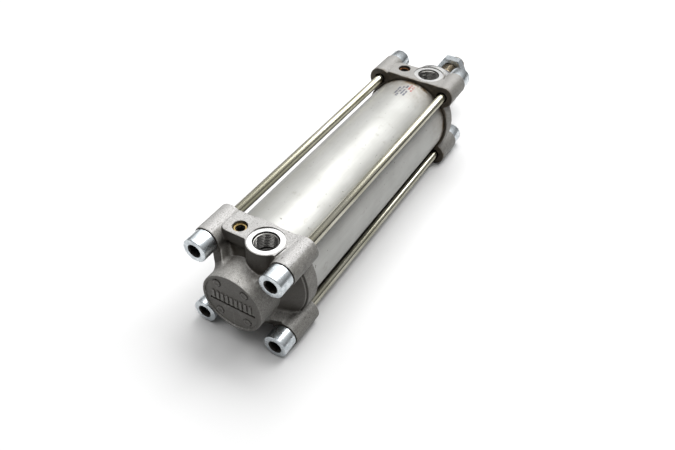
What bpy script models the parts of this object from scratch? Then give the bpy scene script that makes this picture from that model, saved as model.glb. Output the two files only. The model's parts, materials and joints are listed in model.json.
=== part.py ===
"""Double-acting pneumatic cylinder with tie rods, 63 mm bore and 160 mm stroke.

The cylinder lies along +X, from the closed rear cover to the rod end, with the
air ports on top (+Z). The origin is the centre of the rear cover's round
spigot face. The piston rod is modelled retracted.

Run with: blender --background --python part.py
"""
import math

import bmesh
import bpy
from mathutils import Matrix, Vector

MM = 0.001

# Driving dimensions, in millimetres -------------------------------------------------
BORE = 63.0                 # inner diameter of the barrel
STROKE = 160.0
LENGTH_AT_NO_STROKE = 121.0  # between the two mounting planes at zero stroke
TIE_ROD_PITCH = 56.5        # square pitch of the four tie rods
COVER_WIDTH = 75.0          # across the tie rod bosses
TUBE_WALL = 2.5
SPIGOT_DIAMETER = 45.0      # centring spigot of both covers
REAR_SPIGOT = 4.0           # how far the rear spigot stands out of its mounting plane
FRONT_SPIGOT = 17.0
ROD_DIAMETER = 20.0
ROD_STICKOUT = 37.0         # front mounting plane to the rod's shoulder, rod in
ROD_THREAD_DIAMETER = 16.0
ROD_THREAD_PITCH = 1.5
ROD_THREAD_LENGTH = 32.0
ROD_FLATS = 17.0
LOCK_NUT_FLATS = 24.0
LOCK_NUT_HEIGHT = 8.0
LOCK_NUT_OFFSET = 14.0      # shoulder of the rod to the lock nut
TIE_ROD_DIAMETER = 7.2
TIE_ROD_THREAD = 8.0
NUT_DIAMETER = 17.0
NUT_HEIGHT = 12.0
NUT_SLEEVE_DIAMETER = 11.8
NUT_SLEEVE_LENGTH = 12.0
NUT_SOCKET_FLATS = 8.0
NUT_SOCKET_DEPTH = 6.0
PORT_BORE = 15.0            # inner diameter of the pipe thread
GAP = 0.3                   # clearance between pieces that touch

# Cover: distances inwards from its mounting plane, and radii from the axis ----------
COVER_END = 39.0
RING_START = 28.0
RING_RADIUS = 36.5
CONE_START = 16.5
BOSS_DIAMETER = COVER_WIDTH - TIE_ROD_PITCH
BOSS_START = NUT_HEIGHT
SOCKET_START = 33.0
SPIGOT_END = 45.5
CHAMBER_START = 20.0
CHAMBER_RADIUS = 16.2
WEB_WIDTH = 9.6
PAD_HEIGHT = 36.6
PAD_THICKNESS = 7.6
PORT_STATION = 24.0
PORT_OFFSET = -9.0
PORT_BOSS_RADIUS = 13.0
SCREW_STATION = 26.2
SCREW_OFFSET = 12.2
SCREW_RADIUS = 4.5
SCREW_HEAD_DEPTH = 1.8
SCREW_LENGTH = 15.0
SEAL_POCKET = 8.0           # depth of the rod seal's pocket in the front spigot

# Places along the axis --------------------------------------------------------------
REAR_PLANE = REAR_SPIGOT
FRONT_PLANE = REAR_PLANE + LENGTH_AT_NO_STROKE + STROKE
BORE_RADIUS = BORE / 2
TUBE_RADIUS = BORE_RADIUS + TUBE_WALL
HALF_PITCH = TIE_ROD_PITCH / 2
ROD_RADIUS = ROD_DIAMETER / 2
SHOULDER = FRONT_PLANE + ROD_STICKOUT
PISTON_REAR = REAR_PLANE + SPIGOT_END + GAP
PISTON_LENGTH = FRONT_PLANE - SPIGOT_END - GAP - STROKE - PISTON_REAR
BUMPER = 2.5
SLEEVE_RADIUS = 13.7
SLEEVE_LENGTH = 19.0

CORNERS = {"upper_left": (1, 1), "upper_right": (-1, 1), "lower_left": (1, -1), "lower_right": (-1, -1)}
REAR, FRONT = "rear", "front"


def clear_scene():
    for existing in list(bpy.data.objects):
        bpy.data.objects.remove(existing, do_unlink=True)


def make_collection(name):
    collection = bpy.data.collections.new(name)
    bpy.context.scene.collection.children.link(collection)
    return collection


clear_scene()
PARTS = make_collection("pneumatic_cylinder")
CUTTERS = make_collection("cutters")


# Materials --------------------------------------------------------------------------
def material(name, color, roughness, metallic):
    made = bpy.data.materials.new(name)
    made.use_nodes = True
    shader = made.node_tree.nodes["Principled BSDF"]
    shader.inputs["Base Color"].default_value = (*color, 1)
    shader.inputs["Roughness"].default_value = roughness
    shader.inputs["Metallic"].default_value = metallic
    return made


CAST = material("cast_aluminium", (0.36, 0.35, 0.33), 0.5, 0.9)
ANODISED = material("anodised_aluminium", (0.62, 0.62, 0.61), 0.38, 0.9)
ZINC = material("zinc_plated_steel", (0.72, 0.76, 0.80), 0.22, 1.0)
BRIGHT_STEEL = material("bright_drawn_steel", (0.58, 0.57, 0.50), 0.2, 1.0)
CHROME = material("hard_chrome", (0.75, 0.76, 0.77), 0.08, 1.0)
BRASS = material("brass", (0.66, 0.52, 0.25), 0.3, 1.0)
BRONZE = material("sintered_bronze", (0.45, 0.30, 0.16), 0.45, 0.9)
TURNED = material("turned_aluminium", (0.70, 0.70, 0.71), 0.3, 0.9)
RUBBER = material("nitrile_rubber", (0.02, 0.02, 0.02), 0.7, 0.0)
URETHANE = material("polyurethane", (0.03, 0.05, 0.09), 0.5, 0.0)
ACETAL = material("acetal", (0.75, 0.74, 0.70), 0.5, 0.0)
FERRITE = material("bonded_ferrite", (0.08, 0.08, 0.09), 0.6, 0.2)


# Shape helpers ----------------------------------------------------------------------
def finish(piece, made_of):
    """Give a piece its material and smooth its round faces."""
    piece.data.materials.clear()
    piece.data.materials.append(made_of)
    for face in piece.data.polygons:
        face.material_index = 0
    piece.data.shade_smooth()
    piece.data.set_sharp_from_angle(angle=math.radians(30))


def add_object(name, mesh, collection):
    piece = bpy.data.objects.new(name, mesh)
    collection.objects.link(piece)
    if collection == CUTTERS:
        piece.hide_render = True
        piece.display_type = "WIRE"
    return piece


def turned(name, profile, collection, segments=28, at=(0, 0, 0)):
    """Turn a profile of (station, radius) points, in millimetres, about an axis along X.

    A profile that starts and ends on the axis makes a solid piece, and any
    other one is closed into a ring.
    """
    closed = profile[0][1] > 0 or profile[-1][1] > 0
    area = 0.0
    for (x0, r0), (x1, r1) in zip(profile, profile[1:] + profile[:1]):
        area += r0 * x1 - r1 * x0
    points = list(profile) if area < 0 else list(reversed(profile))
    mesh = bpy.data.meshes.new(name)
    count = len(points)
    edges = [(i, (i + 1) % count) for i in range(count if closed else count - 1)]
    mesh.from_pydata([(r * MM, 0, x * MM) for x, r in points], edges, [])
    piece = add_object(name, mesh, collection)
    piece.rotation_euler = (0, math.pi / 2, 0)
    piece.location = Vector(at) * MM
    screw = piece.modifiers.new("turn", "SCREW")
    screw.axis = "Z"
    screw.angle = 2 * math.pi
    screw.steps = segments
    screw.render_steps = segments
    screw.use_merge_vertices = True
    screw.merge_threshold = 0.00001
    return piece


def ring(name, x0, x1, inner, outer, segments=28, chamfer=0.0, at=(0, 0, 0)):
    """A plain turned ring, with an optional chamfer on its outer edges."""
    x0, x1 = sorted((x0, x1))
    c = chamfer
    profile = [(x0, inner), (x0, outer - c), (x0 + c, outer), (x1 - c, outer), (x1, outer - c), (x1, inner)]
    if c == 0:
        profile = [(x0, inner), (x0, outer), (x1, outer), (x1, inner)]
    return turned(name, profile, PARTS, segments, at)


def cylinder(name, radius, start, end, segments=32, twist=3.7):
    """A cutter or a blank: a cylinder between two points given in millimetres.

    The small twist keeps its edges from meeting those of the piece it cuts.
    """
    start, end = Vector(start) * MM, Vector(end) * MM
    along = end - start
    mesh = bpy.data.meshes.new(name)
    shape = bmesh.new()
    bmesh.ops.create_cone(shape, cap_ends=True, segments=segments, radius1=radius * MM,
                          radius2=radius * MM, depth=along.length)
    turn = along.to_track_quat("Z", "Y").to_matrix().to_4x4() @ Matrix.Rotation(math.radians(twist), 4, "Z")
    bmesh.ops.transform(shape, matrix=Matrix.Translation((start + end) / 2) @ turn, verts=shape.verts)
    shape.to_mesh(mesh)
    shape.free()
    return add_object(name, mesh, CUTTERS)


def hexagon(name, flats, start, end, twist=0):
    """A hexagonal blank or cutter, sized across its flats."""
    return cylinder(name, flats / 2 / math.cos(math.pi / 6), start, end, 6, twist)


def prism(name, outline, low, high, frame=None):
    """Extrude an outline of (a, b) points from low to high, all in millimetres."""
    mesh = bpy.data.meshes.new(name)
    shape = bmesh.new()
    corners = [shape.verts.new((a * MM, b * MM, low * MM)) for a, b in outline]
    base = shape.faces.new(corners)
    grown = bmesh.ops.extrude_face_region(shape, geom=[base])["geom"]
    moved = [item for item in grown if isinstance(item, bmesh.types.BMVert)]
    bmesh.ops.translate(shape, vec=(0, 0, (high - low) * MM), verts=moved)
    bmesh.ops.recalc_face_normals(shape, faces=shape.faces)
    if frame is not None:
        bmesh.ops.transform(shape, matrix=frame, verts=shape.verts)
    shape.to_mesh(mesh)
    shape.free()
    return add_object(name, mesh, CUTTERS)


def boolean(piece, tool, operation):
    modifier = piece.modifiers.new(tool.name, "BOOLEAN")
    modifier.operation = operation
    modifier.solver = "EXACT"
    modifier.object = tool


def join(piece, *tools):
    for tool in tools:
        boolean(piece, tool, "UNION")


def cut(piece, *tools):
    for tool in tools:
        boolean(piece, tool, "DIFFERENCE")


def weld(piece):
    """Close the hair-thin slivers that a Boolean can leave behind."""
    modifier = piece.modifiers.new("weld", "WELD")
    modifier.merge_threshold = 0.00002


def arc(center, radius, first, last, steps):
    """Points on an arc in degrees, both ends included."""
    angles = [math.radians(first + (last - first) * i / steps) for i in range(steps + 1)]
    return [(center[0] + radius * math.cos(a), center[1] + radius * math.sin(a)) for a in angles]


# Covers -----------------------------------------------------------------------------
class End:
    """One end of the cylinder: it places stations counted inwards from the mounting plane."""

    def __init__(self, name):
        self.name = name
        self.plane = REAR_PLANE if name == REAR else FRONT_PLANE
        self.inwards = 1 if name == REAR else -1

    def x(self, station):
        return self.plane + self.inwards * station

    def profile(self, points):
        return [(self.x(station), radius) for station, radius in points]


def cover_blank(end):
    """The cast body: hub, cone and ring, bosses on webs, the pad and the port boss."""
    tag = end.name
    spigot = REAR_SPIGOT if tag == REAR else FRONT_SPIGOT
    edge = SPIGOT_DIAMETER / 2
    blank = turned(tag + "_cover", end.profile([
        (-spigot, 0), (-spigot, edge - 1), (1 - spigot, edge), (CONE_START, edge),
        (RING_START, RING_RADIUS), (COVER_END - 0.8, RING_RADIUS), (COVER_END, RING_RADIUS - 0.8),
        (COVER_END, TUBE_RADIUS - 1), (SPIGOT_END, TUBE_RADIUS - 1), (SPIGOT_END, 0)]), PARTS, 40)
    for corner, (side, up) in CORNERS.items():
        y, z = side * HALF_PITCH, up * HALF_PITCH
        outline = [(end.x(6.5), 18), (end.x(6.5), 22.3), (end.x(BOSS_START), 30.5),
                   (end.x(BOSS_START), 38), (end.x(31), 38), (end.x(31), 18)]
        # The prism's second axis is the radius: after the first turn it points along Z, so
        # the corner's angle is measured from Z.
        turn = Matrix.Rotation(math.atan2(up, side) - math.pi / 2, 4, "X") @ Matrix.Rotation(math.pi / 2, 4, "X")
        web = prism(tag + "_web_" + corner, outline, -WEB_WIDTH / 2, WEB_WIDTH / 2, turn)
        boss = cylinder(tag + "_boss_" + corner, BOSS_DIAMETER / 2, (end.x(BOSS_START), y, z),
                        (end.x(COVER_END), y, z), 24)
        join(blank, web, boss)
    port = cylinder(tag + "_port_boss", PORT_BOSS_RADIUS, (end.x(PORT_STATION), PORT_OFFSET, 14),
                    (end.x(PORT_STATION), PORT_OFFSET, PAD_HEIGHT), 30)
    left_corner = arc((23.5, 18), 5, 180, 90, 4)
    pad_outline = [(end.x(s), y) for s, y in
                   [(18.5, -22), (18.5, 12)] + left_corner + [(COVER_END - 0.5, 23), (COVER_END - 0.5, -22)]]
    pad = prism(tag + "_pad", pad_outline, PAD_HEIGHT - PAD_THICKNESS, PAD_HEIGHT)
    block_outline = [(end.x(s), y) for s, y in [(20, -4), (20, 14.5), (34, 14.5), (34, -4)]]
    block = prism(tag + "_screw_block", block_outline, 12, PAD_HEIGHT - 1)
    join(blank, port, pad, block)
    weld(blank)
    return blank


def machine_cover(blank, end):
    """Turn the inside, and drill the ports, the screw's hole and the tie rods' holes."""
    tag = end.name
    seal_groove = 18.4
    core = [(CHAMBER_START, 0), (CHAMBER_START, CHAMBER_RADIUS), (40.5, CHAMBER_RADIUS), (40.5, seal_groove),
            (43.7, seal_groove), (43.7, CHAMBER_RADIUS), (SPIGOT_END + 2, CHAMBER_RADIUS), (SPIGOT_END + 2, 0)]
    core_tool = turned(tag + "_core", end.profile(core), CUTTERS, 24)
    # One tool turns the tube's socket, the O-ring's groove and the spigot inside the tube.
    spigot, floor = BORE_RADIUS - GAP, BORE_RADIUS - GAP - 2
    socket = [(SOCKET_START, spigot), (SOCKET_START, TUBE_RADIUS + GAP), (38.2, TUBE_RADIUS + GAP),
              (COVER_END + 0.2, TUBE_RADIUS + 1.3), (SPIGOT_END + 1, TUBE_RADIUS + 1.3),
              (SPIGOT_END + 1, spigot - 2), (SPIGOT_END - 1, spigot), (38.8, spigot), (38.8, floor),
              (36.2, floor), (36.2, spigot)]
    socket_tool = turned(tag + "_tube_socket", end.profile(socket), CUTTERS, 40)
    cut(blank, core_tool, socket_tool)
    weld(blank)
    x_port, x_screw = end.x(PORT_STATION), end.x(SCREW_STATION)
    cut(blank,
        cylinder(tag + "_port_bore", PORT_BORE / 2, (x_port, PORT_OFFSET, 22), (x_port, PORT_OFFSET, 40), 24),
        cylinder(tag + "_port_passage", 4.5, (end.x(26), PORT_OFFSET, 5), (end.x(26), PORT_OFFSET, 25), 24),
        cylinder(tag + "_screw_hole", SCREW_RADIUS + GAP, (x_screw, SCREW_OFFSET, PAD_HEIGHT - 17.5),
                 (x_screw, SCREW_OFFSET, 40), 18),
        cylinder(tag + "_screw_passage", 2.0, (x_screw, SCREW_OFFSET, 5),
                 (x_screw, SCREW_OFFSET, PAD_HEIGHT - 17), 16))
    for corner, (side, up) in CORNERS.items():
        y, z = side * HALF_PITCH, up * HALF_PITCH
        cut(blank,
            cylinder(tag + "_rod_hole_" + corner, TIE_ROD_THREAD / 2 + 0.4, (end.x(10), y, z),
                     (end.x(42), y, z), 14),
            cylinder(tag + "_sleeve_hole_" + corner, NUT_SLEEVE_DIAMETER / 2 + GAP, (end.x(10), y, z),
                     (end.x(BOSS_START + NUT_SLEEVE_LENGTH + 0.5), y, z), 18))
    if tag == FRONT:
        bearing = [(CHAMBER_START + 1, 0), (CHAMBER_START + 1, 12.3), (SEAL_POCKET - FRONT_SPIGOT, 12.3),
                   (SEAL_POCKET - FRONT_SPIGOT, 14.8), (-FRONT_SPIGOT - 1, 14.8), (-FRONT_SPIGOT - 1, 0)]
        cut(blank, turned(tag + "_bearing_bore", end.profile(bearing), CUTTERS, 28))


def rear_spigot_marks(blank):
    """The rear spigot's face is cast with four round ejector marks and one long step line."""
    line = cylinder("rear_face_line", 0.6, (0, 17.2, -2.6), (0, -17.2, -2.6), 8)
    cut(blank, line)
    for side in (1, -1):
        for z in (13.2, -11.4):
            groove = [(-0.5, 2.5), (-0.5, 3.0), (0.35, 3.0), (0.35, 2.5)]
            mark = turned("rear_face_mark_%d_%d" % (side, z), groove, CUTTERS, 12, at=(0, side * 10.2, z))
            cut(blank, mark)


def make_cover(name):
    end = End(name)
    blank = cover_blank(end)
    machine_cover(blank, end)
    if name == REAR:
        rear_spigot_marks(blank)
    return blank


# Tie rods and their nuts ------------------------------------------------------------
def tie_rod(corner, side, up):
    first = REAR_PLANE + BOSS_START + 3.5
    last = FRONT_PLANE - BOSS_START - 3.5
    shank, thread, length = TIE_ROD_DIAMETER / 2, TIE_ROD_THREAD / 2 - 0.1, 14.0
    profile = [(first, 0), (first, thread - 0.8), (first + 0.8, thread), (first + length, thread),
               (first + length + 0.5, shank), (last - length - 0.5, shank), (last - length, thread),
               (last - 0.8, thread), (last, thread - 0.8), (last, 0)]
    return turned("tie_rod_" + corner, profile, PARTS, 12, (0, side * HALF_PITCH, up * HALF_PITCH))


def tie_rod_nut(name, corner, side, up):
    """A round collar nut: a hexagon socket in its face, and a threaded sleeve in the boss."""
    end = End(name)
    outer, sleeve, bore = NUT_DIAMETER / 2, NUT_SLEEVE_DIAMETER / 2, TIE_ROD_THREAD / 2 + 0.2
    seat = BOSS_START - GAP
    tip = seat + NUT_SLEEVE_LENGTH
    profile = [(0, bore), (0, outer - 0.9), (0.9, outer), (seat - 0.4, outer), (seat, outer - 0.4),
               (seat, sleeve), (tip - 0.5, sleeve), (tip, sleeve - 0.5), (tip, bore)]
    y, z = side * HALF_PITCH, up * HALF_PITCH
    nut = turned("%s_nut_%s" % (name, corner), end.profile(profile), PARTS, 18, (0, y, z))
    socket = hexagon("%s_socket_%s" % (name, corner), NUT_SOCKET_FLATS, (end.x(-1), y, z),
                     (end.x(NUT_SOCKET_DEPTH), y, z))
    cut(nut, socket)
    return nut


# Barrel, seals and cushion screws ---------------------------------------------------
def barrel_tube():
    return ring("barrel_tube", REAR_PLANE + SOCKET_START + GAP, FRONT_PLANE - SOCKET_START - GAP,
                BORE_RADIUS, TUBE_RADIUS, 40, 0.5)


def cover_seals(name):
    end = End(name)
    o_ring = ring(name + "_tube_o_ring", end.x(36.5), end.x(38.5), 29.5, BORE_RADIUS - GAP, 28)
    seal = ring(name + "_cushion_seal", end.x(40.8), end.x(43.4), SLEEVE_RADIUS + GAP, 18.1, 24)
    return o_ring, seal


def cushion_screw(name):
    """A brass needle screw under the pad's face, and the O-ring that it carries."""
    end = End(name)
    x, y, top = end.x(SCREW_STATION), SCREW_OFFSET, PAD_HEIGHT - SCREW_HEAD_DEPTH
    neck, groove_top, groove_bottom = 3.1, top - 9.0, top - 11.0
    outline = [(top, 0), (top, SCREW_RADIUS - 0.3), (top - 0.3, SCREW_RADIUS),
               (groove_top, SCREW_RADIUS), (groove_top, neck), (groove_bottom, neck),
               (groove_bottom, SCREW_RADIUS - 0.4), (groove_bottom - 1.5, SCREW_RADIUS - 0.4),
               (groove_bottom - 1.5, 1.5), (top - SCREW_LENGTH, 0.8), (top - SCREW_LENGTH, 0)]
    screw = turned(name + "_cushion_screw", [(z - top, r) for z, r in outline], PARTS, 18)
    # The screw is drawn along X from its head's face, and stood upright there.
    screw.rotation_euler = (0, 0, 0)
    screw.location = Vector((x, y, top)) * MM
    cut(screw,
        cylinder(name + "_screw_recess", 3.1, (x, y, top - 1.2), (x, y, top + 1), 32),
        hexagon(name + "_screw_socket", 5.0, (x, y, top - 4.5), (x, y, top)))
    seal_profile = [(0.3, neck + 0.2), (0.3, SCREW_RADIUS - 0.1), (1.7, SCREW_RADIUS - 0.1), (1.7, neck + 0.2)]
    seal = turned(name + "_screw_o_ring", seal_profile, PARTS, 18)
    seal.rotation_euler = (0, 0, 0)
    seal.location = Vector((x, y, groove_bottom)) * MM
    return screw, seal


# Piston and rod ---------------------------------------------------------------------
def piston_set():
    """The piston: two bumpers, a grooved body with its seals, a guide ring and a magnet."""
    rear, length = PISTON_REAR, PISTON_LENGTH
    front = rear + length
    body_rear, body_front = rear + BUMPER, front - BUMPER
    outer, inner = BORE_RADIUS - 0.9, 6.4
    groove = 5.0
    middle = (body_rear + body_front) / 2
    stations = [(body_rear + 2.0, 3.6), (middle - 5.2, 5.0), (middle + 1.8, 3.4), (body_front - 5.6, 3.6)]
    profile = [(body_rear, inner), (body_rear, outer - 1)]
    profile.append((body_rear + 0.6, outer))
    for start, width in stations:
        profile += [(start, outer), (start, outer - groove), (start + width, outer - groove), (start + width, outer)]
    profile += [(body_front - 0.6, outer), (body_front, outer - 1), (body_front, inner)]
    body = turned("piston_body", profile, PARTS, 30)
    fill = outer - groove + GAP
    names = ["piston_seal_rear", "piston_guide_ring", "piston_magnet", "piston_seal_front"]
    rims = [BORE_RADIUS - 0.25, BORE_RADIUS - 0.25, outer - 0.4, BORE_RADIUS - 0.25]
    fitted = [ring(n, s + GAP, s + w - GAP, fill, r, 30) for n, (s, w), r in zip(names, stations, rims)]
    hub = SLEEVE_RADIUS + 1.5
    bumpers = [ring("rear_bumper", rear, body_rear - GAP, hub, BORE_RADIUS - 3, 28, 0.6),
               ring("front_bumper", body_front + GAP, front, hub, BORE_RADIUS - 3, 28, 0.6)]
    rear_sleeve = turned("rear_cushion_sleeve", [
        (body_rear - GAP, 6.4), (body_rear - GAP, SLEEVE_RADIUS), (rear - SLEEVE_LENGTH + 3, SLEEVE_RADIUS),
        (rear - SLEEVE_LENGTH, SLEEVE_RADIUS - 1.2), (rear - SLEEVE_LENGTH, 6.4)], PARTS, 24)
    front_sleeve = turned("front_cushion_sleeve", [
        (body_front + GAP, ROD_RADIUS + GAP), (body_front + GAP, SLEEVE_RADIUS),
        (front + SLEEVE_LENGTH - 3, SLEEVE_RADIUS), (front + SLEEVE_LENGTH, SLEEVE_RADIUS - 1.2),
        (front + SLEEVE_LENGTH, ROD_RADIUS + GAP)], PARTS, 24)
    return body, fitted, bumpers, rear_sleeve, front_sleeve, body_front


def piston_rod(body_front):
    """A chromed rod: a stud through the piston, the guided shank, wrench flats and a thread."""
    rear_tip = PISTON_REAR - SLEEVE_LENGTH + 2
    stud = 6.0
    thread = ROD_THREAD_DIAMETER / 2
    seat = body_front + GAP
    end = SHOULDER + ROD_THREAD_LENGTH
    profile = [(rear_tip, 0), (rear_tip, stud - 0.8), (rear_tip + 0.8, stud), (seat, stud),
               (seat, ROD_RADIUS), (SHOULDER - 1, ROD_RADIUS), (SHOULDER, ROD_RADIUS - 1),
               (SHOULDER, thread - 1), (SHOULDER + 2, thread - 1), (SHOULDER + 3, thread),
               (end - 1.2, thread), (end, thread - 1.2), (end, 0)]
    rod = turned("piston_rod", profile, PARTS, 28)
    for side in (1, -1):
        low = min(side * ROD_FLATS / 2, side * (ROD_RADIUS + 1))
        high = max(side * ROD_FLATS / 2, side * (ROD_RADIUS + 1))
        flat = [(SHOULDER - 12, -12), (SHOULDER - 12, 12), (SHOULDER - 2, 12), (SHOULDER - 2, -12)]
        cut(rod, prism("rod_flat_%d" % side, flat, low, high))
    return rod


def front_guides():
    end = End(FRONT)
    bush = ring("rod_bearing_bush", end.x(19.7), end.x(SEAL_POCKET - FRONT_SPIGOT + GAP),
                ROD_RADIUS + GAP, 12.0, 28)
    lip = FRONT_SPIGOT - 0.8
    wiper = turned("rod_wiper_seal", end.profile([
        (SEAL_POCKET - FRONT_SPIGOT - GAP, ROD_RADIUS + 0.6), (SEAL_POCKET - FRONT_SPIGOT - GAP, 14.5),
        (-lip, 14.5), (-lip, 12.6), (-FRONT_SPIGOT - 1.2, 11.2), (-FRONT_SPIGOT - 1.2, ROD_RADIUS + GAP),
        (-FRONT_SPIGOT + 1, ROD_RADIUS + GAP)]), PARTS, 28)
    return bush, wiper


def lock_nut():
    """A thin hexagon nut, chamfered on both faces."""
    x0 = SHOULDER + LOCK_NUT_OFFSET
    x1 = x0 + LOCK_NUT_HEIGHT
    bore = ROD_THREAD_DIAMETER / 2 + GAP
    tip = LOCK_NUT_FLATS / 2 / math.cos(math.pi / 6)
    nut = hexagon("rod_lock_nut", LOCK_NUT_FLATS, (x0, 0, 0), (x1, 0, 0), 30)
    CUTTERS.objects.unlink(nut)
    PARTS.objects.link(nut)
    nut.hide_render = False
    nut.display_type = "TEXTURED"
    drop = 0.9
    chamfers = [(x0 - 1, tip + 3), (x0 - 1, tip - 1.6), (x0 + drop, tip + 0.2), (x1 - drop, tip + 0.2),
                (x1 + 1, tip - 1.6), (x1 + 1, tip + 3)]
    cut(nut, turned("lock_nut_chamfers", chamfers, CUTTERS, 24),
        cylinder("lock_nut_bore", bore, (x0 - 1, 0, 0), (x1 + 1, 0, 0), 24))
    return nut


def build():
    covers = [make_cover(REAR), make_cover(FRONT)]
    for cover in covers:
        finish(cover, CAST)
    finish(barrel_tube(), ANODISED)
    for corner, (side, up) in CORNERS.items():
        finish(tie_rod(corner, side, up), BRIGHT_STEEL)
        for name in (REAR, FRONT):
            finish(tie_rod_nut(name, corner, side, up), ZINC)
    for name in (REAR, FRONT):
        o_ring, seal = cover_seals(name)
        finish(o_ring, RUBBER)
        finish(seal, URETHANE)
        screw, screw_ring = cushion_screw(name)
        finish(screw, BRASS)
        finish(screw_ring, RUBBER)
    body, fitted, bumpers, rear_sleeve, front_sleeve, body_front = piston_set()
    finish(body, TURNED)
    for piece, made_of in zip(fitted, (URETHANE, ACETAL, FERRITE, URETHANE)):
        finish(piece, made_of)
    for piece in bumpers:
        finish(piece, URETHANE)
    finish(rear_sleeve, TURNED)
    finish(front_sleeve, TURNED)
    finish(piston_rod(body_front), CHROME)
    bush, wiper = front_guides()
    finish(bush, BRONZE)
    finish(wiper, URETHANE)
    finish(lock_nut(), ZINC)


build()
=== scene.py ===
import json
import math

import bmesh
import bpy
import numpy as np
from mathutils import Matrix, Vector


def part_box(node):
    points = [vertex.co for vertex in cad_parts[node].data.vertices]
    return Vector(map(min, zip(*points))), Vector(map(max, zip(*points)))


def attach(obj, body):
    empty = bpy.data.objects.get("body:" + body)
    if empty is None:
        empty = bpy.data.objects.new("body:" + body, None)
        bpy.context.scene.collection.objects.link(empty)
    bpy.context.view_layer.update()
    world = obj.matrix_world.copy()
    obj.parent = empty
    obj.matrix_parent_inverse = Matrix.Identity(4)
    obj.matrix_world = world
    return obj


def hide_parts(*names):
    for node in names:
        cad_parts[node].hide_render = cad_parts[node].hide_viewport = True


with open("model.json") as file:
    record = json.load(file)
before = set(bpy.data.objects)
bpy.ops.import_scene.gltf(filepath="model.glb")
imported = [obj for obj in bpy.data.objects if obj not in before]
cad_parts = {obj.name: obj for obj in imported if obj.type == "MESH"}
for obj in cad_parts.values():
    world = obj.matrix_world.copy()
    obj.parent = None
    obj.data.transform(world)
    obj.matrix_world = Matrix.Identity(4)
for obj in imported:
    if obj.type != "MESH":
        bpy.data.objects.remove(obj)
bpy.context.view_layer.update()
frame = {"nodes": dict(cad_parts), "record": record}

MM = 0.001

# The cylinder's own dimensions, in millimetres, as in the CAD source -----------------
REAR_PLANE, FRONT_PLANE = 4.0, 285.0
PITCH = 28.25               # tie rods from the axis, sideways and upwards
HUB = 22.5
RING = 36.5
RING_START, CONE_START, COVER_END = 28.0, 16.5, 39.0
BOSS, BOSS_START = 9.25, 12.0
BORE, TUBE = 31.5, 34.0
PAD = 36.6
PORT_S, PORT_Y, PORT_BOSS, PORT_BORE = 24.0, -9.0, 13.0, 7.5
SCREW_S, SCREW_Y, SCREW = 26.2, 12.2, 4.5
SHOULDER = 322.0
ROD_END = 354.0
COVER_FACE = FRONT_PLANE - COVER_END    # the front cover's face, where the tube goes in
BETWEEN_COVERS = 200.0
CORNERS = {"upper_left": (1, 1), "upper_right": (-1, 1), "lower_left": (1, -1), "lower_right": (-1, -1)}


class End:
    """One end: stations count inwards from its mounting plane."""

    def __init__(self, name):
        self.name = name
        self.plane = REAR_PLANE if name == "rear" else FRONT_PLANE
        self.inwards = 1 if name == "rear" else -1
        self.spigot = 4.0 if name == "rear" else 17.0

    def x(self, station):
        return self.plane + self.inwards * station

    def profile(self, points):
        return [(self.x(s), r) for s, r in points]


ENDS = {"rear": End("rear"), "front": End("front")}


# Meshes -----------------------------------------------------------------------------
def add_mesh(name, verts, faces, sharp=30):
    """A smooth-shaded object from points in millimetres."""
    mesh = bpy.data.meshes.new(name)
    mesh.from_pydata((np.asarray(verts, float) * MM).tolist(), [], faces)
    mesh.validate()
    mesh.update()
    made = bpy.data.objects.new(name, mesh)
    bpy.context.scene.collection.objects.link(made)
    smooth(made, sharp)
    return made


def smooth(obj, angle):
    obj.data.shade_smooth()
    obj.data.set_sharp_from_angle(angle=math.radians(angle))


def fix_normals(obj):
    shape = bmesh.new()
    shape.from_mesh(obj.data)
    bmesh.ops.recalc_face_normals(shape, faces=shape.faces)
    shape.to_mesh(obj.data)
    shape.free()


def lathe(name, profile, segments=96, at=(0, 0, 0), upright=False, radius_at=None, sharp=30):
    """Turn a profile of (station, radius) about an axis along X, or along Z if it is upright.

    radius_at(stations, angles, radii) may change the radii, for a thread.
    """
    closed = profile[0][1] > 0 and profile[-1][1] > 0
    angle = np.arange(segments) * 2 * math.pi / segments
    verts, rows = [], []
    for x, r in profile:
        if r <= 1e-9:
            rows.append([len(verts)])
            verts.append((x, 0, 0))
            continue
        radii = np.full(segments, float(r)) if radius_at is None else radius_at(x, angle, r)
        rows.append(list(range(len(verts), len(verts) + segments)))
        verts += [(x, rr * math.cos(a), rr * math.sin(a)) for rr, a in zip(radii, angle)]
    faces = []
    pairs = list(zip(rows, rows[1:] + rows[:1])) if closed else list(zip(rows, rows[1:]))
    for first, second in pairs:
        for i in range(segments):
            j = (i + 1) % segments
            if len(first) == 1 and len(second) == 1:
                continue
            if len(first) == 1:
                faces.append((first[0], second[j], second[i]))
            elif len(second) == 1:
                faces.append((first[i], first[j], second[0]))
            else:
                faces.append((first[i], first[j], second[j], second[i]))
    verts = np.array(verts, float)
    if upright:
        verts = verts[:, [1, 2, 0]]
    made = add_mesh(name, verts + np.array(at, float), faces, sharp)
    fix_normals(made)
    return made


def prism(name, outline, low, high, axis="Z", at=(0, 0, 0)):
    """Extrude an outline of (a, b) points from low to high along an axis."""
    order = {"Z": [0, 1, 2], "X": [2, 0, 1]}[axis]
    n = len(outline)
    verts = np.array([(a, b, low) for a, b in outline] + [(a, b, high) for a, b in outline], float)
    faces = [tuple(range(n))[::-1], tuple(range(n, 2 * n))]
    faces += [(i, (i + 1) % n, n + (i + 1) % n, n + i) for i in range(n)]
    made = add_mesh(name, verts[:, order] + np.array(at, float), faces)
    fix_normals(made)
    return made


def hexagon(flats, turn=0.0):
    r = flats / 2 / math.cos(math.pi / 6)
    return [(r * math.cos(turn + k * math.pi / 3), r * math.sin(turn + k * math.pi / 3)) for k in range(6)]


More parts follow.
